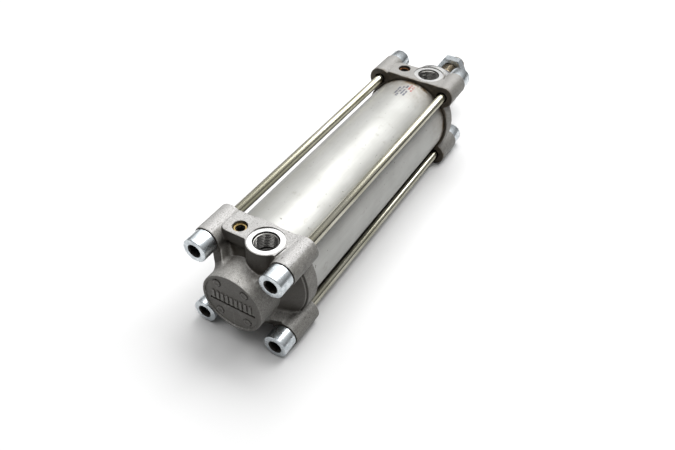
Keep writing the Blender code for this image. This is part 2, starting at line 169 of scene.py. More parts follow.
def arc(center, radius, first, last, steps):
    angles = np.radians(np.linspace(first, last, steps + 1))
    return [(center[0] + radius * math.cos(a), center[1] + radius * math.sin(a)) for a in angles]


def carve(target, tools, operation="DIFFERENCE", sharp=30):
    """Cut the tools from the target, or join them to it, and delete the tools."""
    group = bpy.data.collections.new("tools")
    bpy.context.scene.collection.children.link(group)
    for tool in tools:
        bpy.context.scene.collection.objects.unlink(tool)
        group.objects.link(tool)
    modifier = target.modifiers.new("carve", "BOOLEAN")
    modifier.operation = operation
    modifier.solver = "EXACT"
    modifier.operand_type = "COLLECTION"
    modifier.collection = group
    bpy.context.view_layer.update()
    seen = target.evaluated_get(bpy.context.evaluated_depsgraph_get())
    mesh = bpy.data.meshes.new_from_object(seen)
    target.modifiers.clear()
    target.data = mesh
    for tool in tools:
        bpy.data.objects.remove(tool)
    bpy.data.collections.remove(group)
    smooth(target, sharp)
    return target


# Castings: solid shapes blended with fillets, then meshed ----------------------------
def blend_min(a, b, k):
    """The union of two distance fields with a fillet about k wide."""
    h = np.maximum(k - np.abs(a - b), 0) / k
    return np.minimum(a, b) - h * h * (k / 4)


def blend_max(a, b, k):
    return -blend_min(-a, -b, k)


def polygon_field(points, u, v):
    """Signed distance to a closed outline, negative inside."""
    best = np.full(np.broadcast(u, v).shape, 1e9)
    inside = np.zeros(best.shape, bool)
    for (ax, ay), (bx, by) in zip(points, points[1:] + points[:1]):
        ex, ey = bx - ax, by - ay
        wx, wy = u - ax, v - ay
        t = np.clip((wx * ex + wy * ey) / (ex * ex + ey * ey), 0, 1)
        best = np.minimum(best, (wx - ex * t) ** 2 + (wy - ey * t) ** 2)
        if ey:
            crossed = ((ay > v) != (by > v)) & (u < ax + (v - ay) * ex / ey)
            inside ^= crossed
    return np.sqrt(best) * np.where(inside, -1, 1)


def extrude_field(flat, along, rounding):
    """Two fields at right angles to each other, joined with a rounded edge."""
    a, b = flat + rounding, along + rounding
    return np.minimum(np.maximum(a, b), 0) + np.hypot(np.maximum(a, 0), np.maximum(b, 0)) - rounding


def surface_mesh(field, axes):
    """The zero level of a field on a grid, as points and quads."""
    shape = np.array(field.shape)
    inside = field < 0
    corner = [inside[i:shape[0] - 1 + i, j:shape[1] - 1 + j, k:shape[2] - 1 + k]
              for i in (0, 1) for j in (0, 1) for k in (0, 1)]
    count = np.zeros(shape - 1, np.int8)
    for c in corner:
        count += c
    active = (count > 0) & (count < 8)
    index = np.full(active.shape, -1, np.int64)
    cells = np.argwhere(active)
    index[active] = np.arange(len(cells))
    total, hits = np.zeros((len(cells), 3)), np.zeros(len(cells))
    for axis in range(3):
        step = np.eye(3, dtype=int)[axis]
        others = [a for a in range(3) if a != axis]
        for first in (0, 1):
            for second in (0, 1):
                start = np.zeros(3, int)
                start[others[0]], start[others[1]] = first, second
                p, q = cells + start, cells + start + step
                fp, fq = field[p[:, 0], p[:, 1], p[:, 2]], field[q[:, 0], q[:, 1], q[:, 2]]
                crossed = (fp < 0) != (fq < 0)
                share = np.where(crossed, fp / np.where(crossed, fp - fq, 1), 0)
                total[crossed] += (p + share[:, None] * step)[crossed]
                hits[crossed] += 1
    points = total / hits[:, None]
    quads = []
    for axis in range(3):
        u, v = (axis + 1) % 3, (axis + 2) % 3
        step = np.eye(3, dtype=int)
        low, high = [slice(1, -1)] * 3, [slice(1, -1)] * 3
        low[axis], high[axis] = slice(0, -1), slice(1, None)
        change = inside[tuple(low)] != inside[tuple(high)]
        offset = np.ones(3, int)
        offset[axis] = 0
        edges = np.argwhere(change) + offset
        outward = inside[edges[:, 0], edges[:, 1], edges[:, 2]]
        ring = [edges, edges - step[u], edges - step[u] - step[v], edges - step[v]]
        quad = np.stack([index[c[:, 0], c[:, 1], c[:, 2]] for c in ring], 1)
        quads.append(np.where(outward[:, None], quad, quad[:, ::-1]))
    spots = np.stack([np.interp(points[:, a], np.arange(shape[a]), axes[a]) for a in range(3)], 1)
    return spots, np.concatenate(quads)


def casting(end, step):
    """A cover as cast: hub, cone, ring, webs, bosses, pad and port boss."""
    s = np.arange(-end.spigot - 1.5 * step, COVER_END + 2 * step, step)
    y = np.arange(-38.5, 38.5 + step, step)
    z = np.arange(-38.5, 38.5 + step, step)
    side, up = y[:, None], z[None, :]
    rho = np.hypot(side, up)
    table_reach, table_step = 56, 0.1
    table_r = np.arange(0, table_reach, table_step)

    def turned_field(outline):
        table = polygon_field(outline, s[:, None], table_r[None, :])
        return np.stack([np.interp(rho, table_r, row) for row in table]).astype(np.float32)

    edge, shoulder, notch = 0.8, 1.5, 0.9
    outline = [(-end.spigot + edge, -60), (-end.spigot + edge, HUB - edge), (CONE_START, HUB - edge),
               (RING_START - 0.9, RING - edge - shoulder), (RING_START - 0.2, RING - edge - shoulder - notch),
               (RING_START + 0.5, RING - edge - shoulder), (RING_START + 0.7, RING - edge),
               (COVER_END + 5, RING - edge), (COVER_END + 5, -60)]
    body = turned_field(outline) - edge
    web_outline = [(6.2, 14), (6.2, 22.4), (12.3, 30.7), (12.3, 38), (36, 38), (36, 14)]
    table_d = np.arange(-table_reach, table_reach, table_step)
    web_table = polygon_field(web_outline, s[:, None], table_d[None, :])
    for left, top in CORNERS.values():
        diagonal = (side * left + up * top) / math.sqrt(2)
        across = np.abs(side * top - up * left) / math.sqrt(2)
        flat = np.stack([np.interp(diagonal, table_d, row) for row in web_table])
        half = 4.3 + np.clip((diagonal - 22) / 15, 0, 1) * 1.2
        web = extrude_field(flat, (across - half)[None], 0.9).astype(np.float32)
        body = blend_min(body, web, 3.2)
        round_boss = np.hypot(side - left * PITCH, up - top * PITCH) - BOSS
        ends = np.abs(s - (BOSS_START + COVER_END) / 2) - (COVER_END - BOSS_START) / 2
        boss = extrude_field(round_boss[None], ends[:, None, None], 0.5).astype(np.float32)
        body = blend_min(body, boss, 1.6)
    station = s[:, None]
    across = y[None, :]
    foot = (12 - z)[None, None, :]
    port = np.hypot(station - PORT_S, across - PORT_Y) - PORT_BOSS
    port = np.maximum(port[:, :, None], foot).astype(np.float32)
    pad_outline = [(18.4, 3.2), (18.4, 13.4)] + arc((22.8, 18.0), 4.4, 180, 90, 8) + [
        (27.5, 22.6), (38.5, 21.5), (38.5, -24), (28.2, -23.5), (23.2, -22.5), (18.5, -21.5), (15.5, -20.5)]
    plate = polygon_field(pad_outline, station, across)
    slab_middle, slab_half = 40, 12.5
    slab = np.abs(z - slab_middle)[None, None, :] - slab_half
    pad = extrude_field(plate[:, :, None], slab, 1.0).astype(np.float32)
    screw_post = np.hypot(station - SCREW_S, across - SCREW_Y + 0.5) - 6.8
    screw_post = np.maximum(screw_post[:, :, None], foot).astype(np.float32)
    wall_outline = [(20.5, -4), (21.5, 7), (25, 15.5), (31.5, 17), (31.5, -21), (26, -21)]
    wall = polygon_field(wall_outline, station, across)
    wall = np.maximum(wall[:, :, None], foot).astype(np.float32)
    top = blend_min(port, screw_post, 2.5)
    top = blend_min(top, pad, 1.4)
    top = blend_min(top, wall, 2.0)
    top = blend_max(top, np.float32(1) * (z - PAD)[None, None, :], 0.9)
    top = blend_max(top, (s - (COVER_END - 0.5))[:, None, None].astype(np.float32), 0.8)
    body = blend_min(body, top, 1.8)
    body = blend_max(body, (s - COVER_END)[:, None, None].astype(np.float32), 0.6)
    spots, quads = surface_mesh(body.astype(np.float32), (s, y, z))
    spots[:, 0] = end.plane + end.inwards * spots[:, 0]
    if end.inwards < 0:
        quads = quads[:, ::-1]
    return spots, quads.tolist()


def thread_shape(turns):
    """Height of a thread's profile, 0 in its root and 1 on its crest, for a number of turns."""
    phase = turns - np.floor(turns)
    return np.clip(1.35 - np.abs(phase - 0.5) * 3.4, 0, 1)


def threaded_rows(low, high, pitch, per_turn=8):
    count = int(round((high - low) / pitch * per_turn))
    return [low + (high - low) * k / count for k in range(count + 1)]


def port_cutter(end, name):
    """A tapped port: a chamfered mouth, the thread, and a plain bottom."""
    pitch, depth, bottom = 1.337, 0.62, 22.0

    def wavy(x, angle, radius):
        if not bottom + 1.0 < x < PAD - 1.7:
            return np.full(len(angle), radius)
        fade = min(1.0, (x - bottom - 1.0) / 1.5)
        return radius + depth * thread_shape(x / pitch - angle / (2 * math.pi)) * fade

    rows = threaded_rows(bottom + 0.6, PAD - 1.7, pitch)
    profile = [(bottom, 0), (bottom, 6.9), (bottom + 0.5, PORT_BORE)]
    profile += [(x, PORT_BORE) for x in rows]
    spot = 12.0
    profile += [(PAD - 1.6, PORT_BORE + 0.4), (PAD - 0.5, 8.7), (PAD - 0.5, spot), (PAD + 2, spot),
                (PAD + 2, 0)]
    return lathe(name, profile, 72, (end.x(PORT_S), PORT_Y, 0), upright=True, radius_at=wavy)


def machine(cover, end):
    """The cuts made after casting: tube seat, bores, tapped port and screw hole."""
    x_screw = end.x(SCREW_S)
    tools = [lathe("core", end.profile([
        (20, 0), (20, 16.2), (40.5, 16.2), (40.5, 18.4), (43.7, 18.4), (43.7, 16.2), (47, 16.2),
        (47, 0)]), 96)]
    tools.append(lathe("seat", end.profile([
        (33, 31.2), (33, 34.3), (38.6, 34.3), (39.3, 34.9), (41, 34.9), (41, 31.2), (38.8, 31.2),
        (38.8, 29.2), (36.2, 29.2), (36.2, 31.2)]), 128))
    tools.append(port_cutter(end, "port"))
    tools.append(lathe("passage", [(5, 0), (5, 4.5), (25, 4.5), (25, 0)], 32, (end.x(26), PORT_Y, 0), True))
    tools.append(lathe("screw_hole", [
        (19.1, 0), (19.1, SCREW + 0.3), (PAD - 0.5, SCREW + 0.3), (PAD + 1, SCREW + 1.2), (PAD + 1, 0)],
        48, (x_screw, SCREW_Y, 0), True))
    crease = end.profile([(15.5, -20.4), (25.0, -22.5), (25.0, -23.1), (15.5, -21.2)])
    tools.append(prism("crease", crease, PAD - 1.3, PAD + 3))
    tools.append(lathe("needle_hole", [(5, 0), (5, 2), (20, 2), (20, 0)], 24, (x_screw, SCREW_Y, 0), True))
    for corner, (left, top) in CORNERS.items():
        at = (0, left * PITCH, top * PITCH)
        tools.append(lathe("rod_" + corner, end.profile([
            (10, 0), (10, 6.2), (24.5, 6.2), (24.5, 4.4), (38.4, 4.4), (40.5, 6.4), (40.5, 0)]), 48, at))
    if end.name == "front":
        tools.append(lathe("bearing", end.profile([
            (21, 0), (21, 12.3), (-9, 12.3), (-9, 14.8), (-16.4, 14.8), (-18, 16.2), (-18, 0)]), 96))
    carve(cover, tools)


def spigot_tube_end(end):
    """The turned spigot inside the tube, which carries the O-ring and the cushion seal."""
    return lathe("spigot", end.profile([
        (38.0, 29.0), (38.9, 31.2), (44.5, 31.2), (45.5, 30.2), (45.5, 16.2), (43.7, 16.2), (43.7, 18.4),
        (40.5, 18.4), (40.5, 16.2), (38.0, 16.2)]), 128)


def rear_face_details(cover):
    """The rear spigot's face: a recess inside a rim, round marks, a step line and a row of bars."""
    floor, rim = 0.8, 20.4
    tools = [lathe("recess", [(-1, 0), (-1, rim + 0.5), (0, rim + 0.3), (floor, rim), (floor, 0)], 96)]
    half, low, high = 17.2, -3.8, -1.9
    tools.append(prism("line", [(-half, low), (half, low), (half, high), (-half, high)], -1, 2.2, "X"))
    marks = [(10.3, 13.2), (-10.3, 13.2), (10.3, -11.4), (-10.8, -11.4)]
    for y, z in marks:
        tools.append(lathe("moat", [
            (floor - 0.5, 2.3), (floor - 0.5, 3.2), (floor + 0.6, 3.1), (floor + 0.6, 2.3)], 32, (0, y, z)))
    carve(cover, tools)
    raised = []
    for y, z in marks:
        raised.append(lathe("mark", [
            (floor + 0.9, 0), (floor + 0.9, 2.5), (0.3, 2.5), (0.1, 2.2), (0.1, 1.7), (0.4, 1.4), (0.4, 0)],
            32, (0, y, z)))
    bars, pitch, width, foot, head = 9, 3.5, 2.0, -1.2, 5.4
    for k in range(bars):
        y = pitch * (k - (bars - 1) / 2)
        bar = [(y - width / 2, foot), (y + width / 2, foot), (y + width / 2, head), (y - width / 2, head)]
        raised.append(prism("bar", bar, 0.1, floor + 0.4, "X"))
    carve(cover, raised, "UNION")


# Materials --------------------------------------------------------------------------
def set_stops(node, stops):
    """Fill a colour ramp with (position, colour or grey) stops."""
    elements = node.color_ramp.elements
    while len(elements) < len(stops):
        elements.new(0.5)
    for element, (position, color) in zip(elements, stops):
        element.position = position
        element.color = (*color, 1) if isinstance(color, tuple) else (color, color, color, 1)


class Look:
    """A material's node tree, with short calls for the nodes it needs."""

    def __init__(self, name):
        self.material = bpy.data.materials.new(name)
        self.material.use_nodes = True
        self.tree = self.material.node_tree
        self.shader = self.tree.nodes["Principled BSDF"]
        self.place = self.tree.nodes.new("ShaderNodeTexCoord").outputs["Object"]

    def link(self, source, target):
        if isinstance(source, bpy.types.NodeSocket):
            self.tree.links.new(source, target)
        else:
            target.default_value = source

    def add(self, kind, **settings):
        made = self.tree.nodes.new(kind)
        for key, value in settings.items():
            setattr(made, key, value)
        return made

    def stretch(self, scale, offset=(0, 0, 0)):
        """The place on the piece, in units of 1 / scale metres along each axis."""
        made = self.add("ShaderNodeMapping")
        self.link(self.place, made.inputs["Vector"])
        made.inputs["Scale"].default_value = scale
        made.inputs["Location"].default_value = offset
        return made.outputs["Vector"]

    def noise(self, size_mm, detail=3.0, rough=0.5, stretch=(1, 1, 1), offset=(0, 0, 0)):
        """Noise with features about size_mm across."""
        made = self.add("ShaderNodeTexNoise")
        scale = tuple(a / (size_mm * MM) for a in stretch)
        self.link(self.stretch(scale, offset), made.inputs["Vector"])
        made.inputs["Scale"].default_value = 1.0
        made.inputs["Detail"].default_value = detail
        made.inputs["Roughness"].default_value = rough
        return made.outputs["Fac"]

    def ramp(self, value, stops):
        """Map a value through (position, colour or grey) stops."""
        made = self.add("ShaderNodeValToRGB")
        made.color_ramp.interpolation = "EASE"
        set_stops(made, stops)
        self.link(value, made.inputs["Fac"])
        return made.outputs["Color"]

    def math(self, operation, a, b=0.0, clamp=False):
        made = self.add("ShaderNodeMath", operation=operation, use_clamp=clamp)
        self.link(a, made.inputs[0])
        self.link(b, made.inputs[1])
        return made.outputs["Value"]

    def mix(self, share, a, b):
        made = self.add("ShaderNodeMix", data_type="RGBA")
        self.link(share, made.inputs["Factor"])
        for value, socket in ((a, made.inputs[6]), (b, made.inputs[7])):
            self.link((*value, 1) if isinstance(value, tuple) else value, socket)
        return made.outputs[2]

    def axis(self, letter):
        made = self.add("ShaderNodeSeparateXYZ")
        self.link(self.place, made.inputs[0])
        return made.outputs[letter]

    def facing(self):
        """The surface's direction, split into X, Y and Z."""
        geometry = self.add("ShaderNodeNewGeometry")
        made = self.add("ShaderNodeSeparateXYZ")
        self.link(geometry.outputs["Normal"], made.inputs[0])
        return made.outputs

    def edges(self):
        """About 0.5 on a flat face, more on an outer edge and less in a corner."""
        return self.add("ShaderNodeNewGeometry").outputs["Pointiness"]

    def hidden(self, distance_mm):
        """1 in the open and 0 deep in a corner."""
        made = self.add("ShaderNodeAmbientOcclusion", samples=8)
        made.inputs["Distance"].default_value = distance_mm * MM
        return made.outputs["AO"]

    def bump(self, height, depth_mm):
        made = self.add("ShaderNodeBump")
        made.inputs["Strength"].default_value = 1.0
        made.inputs["Distance"].default_value = depth_mm * MM
        self.link(height, made.inputs["Height"])
        return made.outputs["Normal"]

    def finish(self, color, roughness, metallic=1.0, normal=None):
        self.link((*color, 1) if isinstance(color, tuple) else color, self.shader.inputs["Base Color"])
        self.link(roughness, self.shader.inputs["Roughness"])
        self.shader.inputs["Metallic"].default_value = metallic
        if normal is not None:
            self.link(normal, self.shader.inputs["Normal"])
        return self.material


def cast_look():
    """Die-cast aluminium: fine grain, flow marks and pits; painted light makes it paler on top, its edges are
    paler from wear and a painted highlight, and painted shade darkens its corners, undersides, rear-facing
    faces and the far cover's tops.
    """
    look = Look("cast_aluminium")
    grain = look.noise(0.55, 4, 0.65)
    cloud = look.noise(7.0, 4, 0.6)
    flow = look.noise(2.2, 3, 0.55, offset=(3, 1, 7))
    tone = look.ramp(cloud, [(0.3, (0.155, 0.15, 0.138)), (0.7, (0.215, 0.208, 0.193))])
    tone = look.mix(look.ramp(flow, [(0.35, 0.0), (0.7, 0.5)]), tone, (0.275, 0.268, 0.25))
    blotch = look.ramp(look.noise(1.5, 3, 0.6, offset=(5, 8, 3)), [(0.36, 0.55), (0.52, 0.0)])
    tone = look.mix(blotch, tone, (0.12, 0.115, 0.105))
    way = look.facing()
    # painted light: faces turned upwards are made paler, as if lit from above
    top = look.ramp(way["Z"], [(0.60, 0.0), (0.95, 0.6)])
    top = look.math("MULTIPLY", top, look.ramp(flow, [(0.3, 0.55), (0.6, 1.0)]))
    tone = look.mix(top, tone, (0.34, 0.335, 0.32))
    per_metre = 20.0
    height = look.math("MULTIPLY", look.axis("Z"), per_metre)
    # the faces up at the pad's height, the pad and boss tops, are made paler
    paler_at_pad_height = look.ramp(height, [((PAD - 1.0) * MM * per_metre, 0.0), ((PAD - 0.2) * MM * per_metre, 0.5)])
    tone = look.mix(paler_at_pad_height, tone, (0.46, 0.455, 0.455))
    # outer edges are made paler: edge wear, and a painted highlight along them
    tone = look.mix(look.ramp(look.edges(), [(0.507, 0.0), (0.56, 0.7)]), tone, (0.45, 0.445, 0.43))
    tone = look.mix(look.ramp(grain, [(0.30, 0.6), (0.62, 0.0)]), tone, (0.085, 0.08, 0.072))
    pits = look.ramp(look.noise(1.6, 2, 0.5, offset=(9, 2, 4)), [(0.70, 0.0), (0.74, 0.85)])
    tone = look.mix(pits, tone, (0.05, 0.046, 0.042))
    scratch = look.ramp(look.noise(1.1, 2, 0.5, (0.25, 1, 1), (7, 7, 2)), [(0.68, 0.0), (0.72, 0.7)])
    tone = look.mix(scratch, tone, (0.07, 0.065, 0.06))
    # painted shade: faces turned to the rear, away from the lamps, are made darker
    rear_facing_shade = look.ramp(look.math("MULTIPLY", way["X"], -1.0), [(0.35, 0.0), (0.85, 0.68)])
    tone = look.mix(rear_facing_shade, tone, (0.075, 0.070, 0.062))
    # painted shade: rear-facing faces beyond the hub's end face, as in the pocket under the pad, are made
    # darker still
    deep_shade = look.math("GREATER_THAN", look.axis("X"), 0.012)
    deep_shade = look.math("MULTIPLY", look.math("MULTIPLY", rear_facing_shade, deep_shade), 1.3, True)
    tone = look.mix(deep_shade, tone, (0.030, 0.025, 0.019))
    # painted shade: faces turned downwards, and less so level faces, on the rear cover are made darker
    low = look.ramp(way["Z"], [(0.0, 0.30), (0.5, 0.0)])
    rear = look.math("LESS_THAN", look.axis("X"), BETWEEN_COVERS * MM)
    tone = look.mix(look.math("MULTIPLY", low, rear), tone, (0.10, 0.095, 0.087))
    # painted shade: faces turned upwards on the front cover are made darker
    high = look.ramp(way["Z"], [(0.5, 0.0), (0.9, 0.55)])
    front = look.math("GREATER_THAN", look.axis("X"), BETWEEN_COVERS * MM)
    tone = look.mix(look.math("MULTIPLY", high, front), tone, (0.17, 0.163, 0.15))
    joint = look.math("SUBTRACT", look.axis("X"), (COVER_FACE - 2.0) * MM)
    joint = look.ramp(look.math("MULTIPLY", look.math("ABSOLUTE", joint), 100.0), [(0.25, 0.8), (0.5, 0.0)])
    patchy = look.ramp(look.noise(4.0, 3, 0.6, offset=(1, 3, 8)), [(0.35, 0.25), (0.62, 1.0)])
    tone = look.mix(look.math("MULTIPLY", joint, patchy), tone, (0.080, 0.063, 0.043))
    # painted shade in corners and recesses, from the occlusion node
    corner = look.ramp(look.hidden(17), [(0.12, 0.97), (0.42, 0.6), (0.76, 0.0)])
    tone = look.mix(corner, tone, (0.035, 0.027, 0.017))
    rough = look.ramp(grain, [(0.3, 0.66), (0.7, 0.46)])
    rise = look.math("ADD", look.math("MULTIPLY", grain, 0.5), look.math("MULTIPLY", flow, 0.9))
    return look.finish(tone, rough, 0.35, look.bump(rise, 0.22))


def turned_look(name, color, dark, rough, axis_letter="X", pitch_mm=0.18, metallic=1.0, corner_shade=0.4):
    """A turned metal: fine tool rings across its axis, and painted shade in its corners."""
    look = Look(name)
    cloud = look.noise(3.0, 3, 0.6)
    stretch = {"X": (1, 0.03, 0.03), "Z": (0.03, 0.03, 1)}[axis_letter]
    rings = look.noise(pitch_mm, 2, 0.5, stretch)
    tone = look.ramp(cloud, [(0.35, dark), (0.65, color)])
    tone = look.mix(look.ramp(rings, [(0.35, 0.3), (0.6, 0.0)]), tone, tuple(0.75 * c for c in dark))
    # painted shade in its corners, from the occlusion node
    corner = look.ramp(look.hidden(2.5), [(0.2, corner_shade), (0.7, 0.0)])
    tone = look.mix(corner, tone, (0.05, 0.045, 0.04))
    roughness = look.ramp(cloud, [(0.3, rough * 1.25), (0.7, rough * 0.85)])
    return look.finish(tone, roughness, metallic, look.bump(rings, 0.005))


def rod_look():
    """Bright drawn steel: fine lines along its length, and a yellow-grey oil film."""
    look = Look("bright_drawn_steel")
    lines = look.noise(0.35, 3, 0.6, (0.012, 1, 1))
    film = look.noise(16, 4, 0.6, (0.35, 1, 1))
    tone = look.ramp(film, [(0.32, (0.30, 0.288, 0.215)), (0.68, (0.49, 0.475, 0.40))])
    tone = look.mix(look.ramp(lines, [(0.35, 0.5), (0.6, 0.0)]), tone, (0.28, 0.265, 0.20))
    stains = look.ramp(look.noise(2.5, 3, 0.6, (0.3, 1, 1), (4, 4, 4)), [(0.62, 0.0), (0.75, 0.6)])
    tone = look.mix(stains, tone, (0.15, 0.13, 0.085))
    # painted shade in corners, from the occlusion node
    corner = look.ramp(look.hidden(6), [(0.15, 0.8), (0.7, 0.0)])
    tone = look.mix(corner, tone, (0.04, 0.032, 0.02))
    roughness = look.ramp(film, [(0.3, 0.27), (0.7, 0.16)])
    return look.finish(tone, roughness, 1.0, look.bump(lines, 0.012))


def printed_rows(look, tone):
    """Generic small print on top of the tube: rows of short dashes along it, blue and then red."""
    x, y = look.axis("X"), look.axis("Y")
    above = look.math("GREATER_THAN", look.axis("Z"), 0.0)
    dashes = look.math("GREATER_THAN", look.noise(1.1, 1, 0.5, (1, 0.5, 0.1), (2, 2, 2)), 0.44)
    blue, red = (0.05, 0.058, 0.10), (0.28, 0.045, 0.05)
    rows = [(3.6, 224.0, 235.0, blue), (1.2, 221.0, 239.0, blue), (-1.2, 225.0, 240.0, blue),
            (-3.6, 224.0, 232.0, blue), (-3.6, 234.5, 242.0, red), (-6.0, 233.0, 241.0, red)]
    half_row = 0.75
    for middle, first, last, ink in rows:
        beside = look.math("ABSOLUTE", look.math("SUBTRACT", y, middle * MM))
        beside = look.math("LESS_THAN", beside, half_row * MM)
        along = look.math("SUBTRACT", x, (first + last) / 2 * MM)
        along = look.math("LESS_THAN", look.math("ABSOLUTE", along), (last - first) / 2 * MM)
        row = look.math("MULTIPLY", beside, along)
        mask = look.math("MULTIPLY", row, look.math("MULTIPLY", above, dashes))
        tone = look.mix(look.math("MULTIPLY", mask, 0.92), tone, ink)
    return tone


def tube_look():
    """Satin anodised tube: extrusion lines, smudges and specks, small print, and grime at the far cover."""
    look = Look("anodised_aluminium")
    x = look.axis("X")
    lines = look.noise(0.5, 2, 0.5, (0.006, 1, 1))
    cloud = look.noise(22, 4, 0.55, (0.6, 1, 1))
    tone = look.ramp(cloud, [(0.3, (0.31, 0.31, 0.295)), (0.7, (0.37, 0.37, 0.355))])
    tone = look.mix(look.ramp(lines, [(0.3, 0.25), (0.6, 0.0)]), tone, (0.27, 0.27, 0.26))
    smudge = look.ramp(look.noise(9, 3, 0.6, (1, 1.4, 1.4), (2, 5, 1)), [(0.60, 0.0), (0.74, 0.4)])
    tone = look.mix(smudge, tone, (0.20, 0.19, 0.165))
    speck = look.ramp(look.noise(2.4, 1, 0.5, (1, 1, 1), (8, 1, 3)), [(0.745, 0.0), (0.775, 0.75)])
    tone = look.mix(speck, tone, (0.10, 0.095, 0.085))
    tone = printed_rows(look, tone)
    dirt_length = 30.0
    inward = look.math("SUBTRACT", (COVER_FACE + 0.5) * MM, x)
    edge = look.ramp(look.math("MULTIPLY", inward, 1 / (dirt_length * MM)),
                     [(0.0, 1.0), (0.07, 1.0), (0.16, 0.4), (0.5, 0.2), (1.0, 0.0)])
    dirt = look.ramp(look.noise(5, 4, 0.65, (1, 1, 1), (1, 9, 6)), [(0.3, 0.3), (0.62, 1.0)])
    tone = look.mix(look.math("MULTIPLY", edge, dirt), tone, (0.12, 0.08, 0.04))
    # painted shade in corners, from the occlusion node
    corner = look.ramp(look.hidden(8), [(0.15, 0.8), (0.6, 0.0)])
    tone = look.mix(corner, tone, (0.06, 0.05, 0.035))
    roughness = look.ramp(cloud, [(0.3, 0.46), (0.7, 0.40)])
    return look.finish(tone, roughness, 0.5, look.bump(lines, 0.01))


def brass_look():
    """Turned brass; the far screw has gone a dull red-brown."""
    look = Look("brass")
    rings = look.noise(0.18, 2, 0.5, (0.03, 0.03, 1))
    cloud = look.noise(2.0, 3, 0.6)
    tone = look.ramp(cloud, [(0.35, (0.24, 0.165, 0.065)), (0.65, (0.46, 0.345, 0.15))])
    aged = look.math("GREATER_THAN", look.axis("X"), BETWEEN_COVERS * MM)
    tone = look.mix(look.math("MULTIPLY", aged, 0.85), tone, (0.16, 0.055, 0.022))
    # painted shade in corners, from the occlusion node
    tone = look.mix(look.ramp(look.hidden(2.0), [(0.2, 0.8), (0.7, 0.0)]), tone, (0.02, 0.012, 0.008))
    return look.finish(tone, look.ramp(cloud, [(0.3, 0.34), (0.7, 0.22)]), 1.0, look.bump(rings, 0.012))


def plain_look(name, color, dark, roughness, metallic, size_mm=1.2, depth_mm=0.03):
    """A quiet material with mottled colour and a fine bump."""
    look = Look(name)
    cloud = look.noise(size_mm, 4, 0.6)
    tone = look.ramp(cloud, [(0.3, dark), (0.7, color)])
    rough = look.ramp(look.noise(size_mm * 3, 2, 0.5), [(0.3, roughness * 1.2), (0.7, roughness * 0.85)])
    return look.finish(tone, rough, metallic, look.bump(cloud, depth_mm))


LOOKS = {
    "cast_aluminium": cast_look(),
    "anodised_aluminium": tube_look(),
    "bright_drawn_steel": rod_look(),
    "zinc_plated_steel": turned_look(
        "zinc_plated_steel", (0.70, 0.74, 0.765), (0.50, 0.54, 0.565), 0.28, corner_shade=0.8),
    "hard_chrome": turned_look("hard_chrome", (0.66, 0.66, 0.67), (0.55, 0.55, 0.57), 0.09, pitch_mm=0.12),
    "brass": brass_look(),
    "sintered_bronze": plain_look("sintered_bronze", (0.46, 0.31, 0.16), (0.30, 0.19, 0.09), 0.45, 0.9),
    "turned_aluminium": turned_look(
        "turned_aluminium", (0.66, 0.66, 0.655), (0.50, 0.50, 0.495), 0.32, "Z", corner_shade=0.6),
    "nitrile_rubber": plain_look("nitrile_rubber", (0.03, 0.03, 0.03), (0.015, 0.015, 0.015), 0.6, 0.0),
    "polyurethane": plain_look("polyurethane", (0.035, 0.042, 0.055), (0.018, 0.022, 0.03), 0.45, 0.0),
    "acetal": plain_look("acetal", (0.78, 0.77, 0.72), (0.66, 0.65, 0.60), 0.5, 0.0),
    "bonded_ferrite": plain_look("bonded_ferrite", (0.10, 0.10, 0.11), (0.05, 0.05, 0.055), 0.55, 0.2),
}
# painted shade: a near-black material for the faces inside hexagon sockets
SOCKET_SHADE = plain_look("socket_painted_shade", (0.030, 0.027, 0.023), (0.012, 0.010, 0.008), 0.5, 0.6)
# painted shade: the walls of tapped holes are coloured much darker than machined aluminium
TAPPED_SHADED = plain_look("tapped_aluminium_shaded", (0.19, 0.186, 0.178), (0.11, 0.107, 0.102), 0.22, 1.0, 9.0, 0.01)
SPIGOT = turned_look("spigot_aluminium", (0.74, 0.74, 0.735), (0.56, 0.56, 0.555), 0.28, corner_shade=0.5)
THREAD = turned_look("thread_steel", (0.34, 0.30, 0.235), (0.20, 0.165, 0.115), 0.28, corner_shade=0.8)
SLOT_OF = {s["node"]: s["material_slot"] for s in frame["record"]["subparts"]}
BODY_OF = {n: b for b, nodes in frame["record"]["behaviour"]["bodies"].items() for n in nodes}


def place(piece, node, extra=()):
    """The piece stands for a CAD node: it takes its body and its material slot."""
    piece.data.materials.clear()
    piece.data.materials.append(LOOKS[SLOT_OF[node]])
    for look in extra:
        piece.data.materials.append(look)
    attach(piece, BODY_OF[node])
    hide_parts(node)
    return piece


def paint_faces(piece, index, test):
    """Give the faces whose centre passes the test another of the piece's materials."""
    count = len(piece.data.polygons)
    centers = np.zeros(count * 3)
    piece.data.polygons.foreach_get("center", centers)
    chosen = np.zeros(count, np.int32)
    piece.data.polygons.foreach_get("material_index", chosen)
    hits = test(centers.reshape(-1, 3) / MM)
    chosen[hits] = index
    piece.data.polygons.foreach_set("material_index", chosen)
    piece.data.update()


